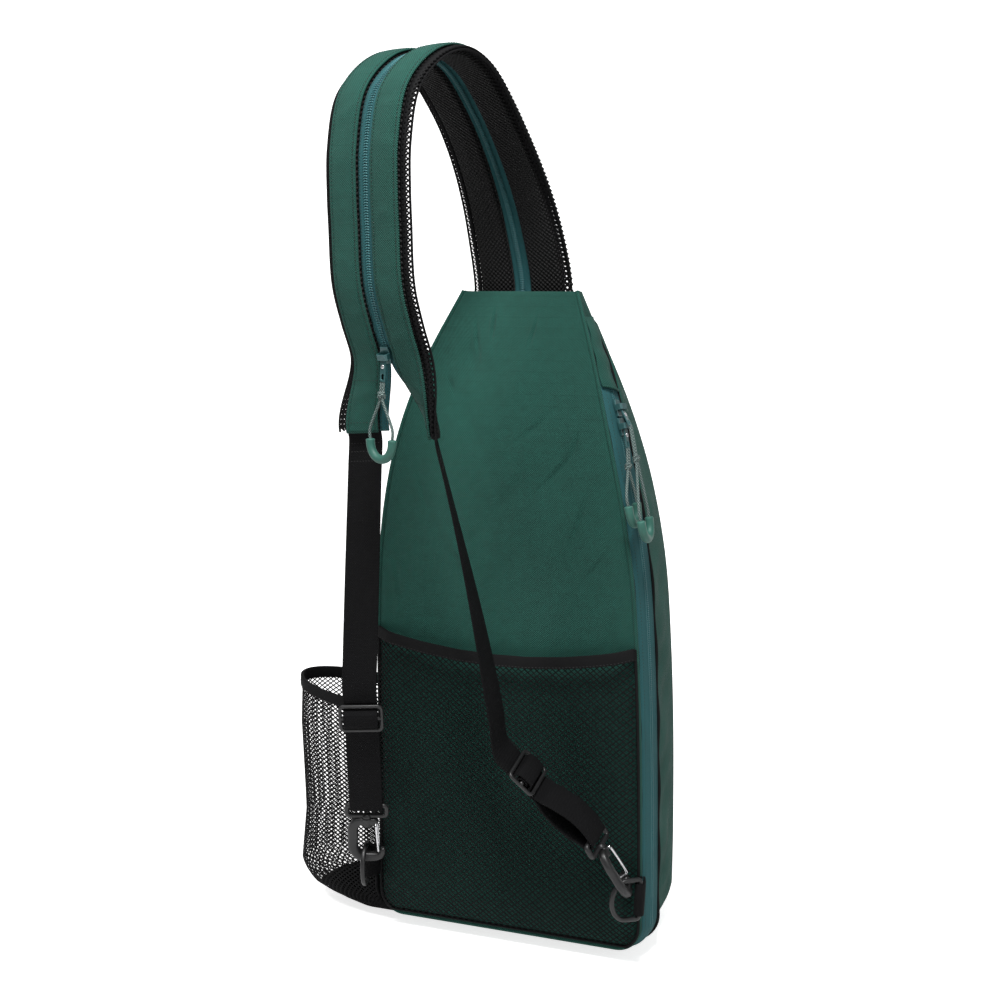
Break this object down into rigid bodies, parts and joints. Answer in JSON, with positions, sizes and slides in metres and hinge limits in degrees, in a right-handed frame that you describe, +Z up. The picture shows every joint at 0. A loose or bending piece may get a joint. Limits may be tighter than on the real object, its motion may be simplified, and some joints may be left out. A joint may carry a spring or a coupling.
{
  "type": "pickleball sling bag",
  "caption": "Tall sling bag with a padded strap split by a zip, clip-on webbings, a side zip, a mesh back pocket and a mesh bottle pocket.",
  "frame": {"origin": "the highest point of the padded strap's underside, where the bag hangs from a shoulder or a hook", "axes": "+X to the right when the wearer's side (with the strap and the back pocket) is seen, +Y from the wearer's side through the bag to its front, +Z up"},
  "size_m": [0.3072, 0.2473, 0.6525],
  "materials": {
    "green_cloth": "matt woven polyester with a fine ripstop weave",
    "teal_tape": "matt woven zip tape",
    "black_mesh": "matt knitted mesh",
    "black_webbing": "matt ribbed webbing and binding",
    "black_plastic": "satin moulded acetal",
    "bright_wire": "bright drawn wire",
    "teal_metal": "satin enamel",
    "speckled_cord": "braided, two colours",
    "green_grip": "soft moulded tube"
  },
  "bodies": {
    "bag": {"back_panel": "green_cloth", "front_panel": "green_cloth", "gusset": "green_cloth", "strap_face_left": "green_cloth", "strap_face_right": "green_cloth", "side_zip_tape_back": "teal_tape", "side_zip_tape_front": "teal_tape", "strap_zip_tape_left": "teal_tape", "strap_zip_tape_right": "teal_tape", "strap_zip_coil": "teal_tape", "strap_pad_left": "black_mesh", "strap_pad_right": "black_mesh", "back_pocket_net": "black_mesh", "bottle_pocket_net": "black_mesh", "webbing_left": "black_webbing", "webbing_right": "black_webbing", "dring_tab_left": "black_webbing", "dring_tab_right": "black_webbing", "back_pocket_hem": "black_webbing", "bottle_pocket_hem": "black_webbing", "triglide_left": "black_plastic", "triglide_right": "black_plastic", "hook_body_left": "black_plastic", "hook_body_right": "black_plastic", "hook_eye_left": "black_plastic", "hook_eye_right": "black_plastic", "dring_left": "black_plastic", "dring_right": "black_plastic", "slider_side_upper": "teal_metal", "slider_side_lower": "teal_metal", "slider_strap": "teal_metal", "pull_tab_side_upper": "teal_metal", "pull_tab_side_lower": "teal_metal", "pull_tab_strap": "teal_metal", "pull_cord_side_upper": "speckled_cord", "pull_cord_side_lower": "speckled_cord", "pull_cord_strap": "speckled_cord", "pull_grip_side_upper": "green_grip", "pull_grip_side_lower": "green_grip", "pull_grip_strap": "green_grip"},
    "gate_left": {"gate_left": "bright_wire"},
    "gate_right": {"gate_right": "bright_wire"}
  },
  "joints": [
    {"name": "gate_left_hinge", "type": "hinge", "parent": "bag", "child": "gate_left", "pos_m": [-0.06286, 0.0404, -0.55644], "axis": [-0.3543, 0.8905, 0.2855], "range_deg": [0, 15], "stiffness_Nm_per_rad": 0.05},
    {"name": "gate_right_hinge", "type": "hinge", "parent": "bag", "child": "gate_right", "pos_m": [0.11771, 0.04543, -0.55383], "axis": [-0.8358, -0.1971, -0.5124], "range_deg": [0, 15], "stiffness_Nm_per_rad": 0.05}
  ]
}
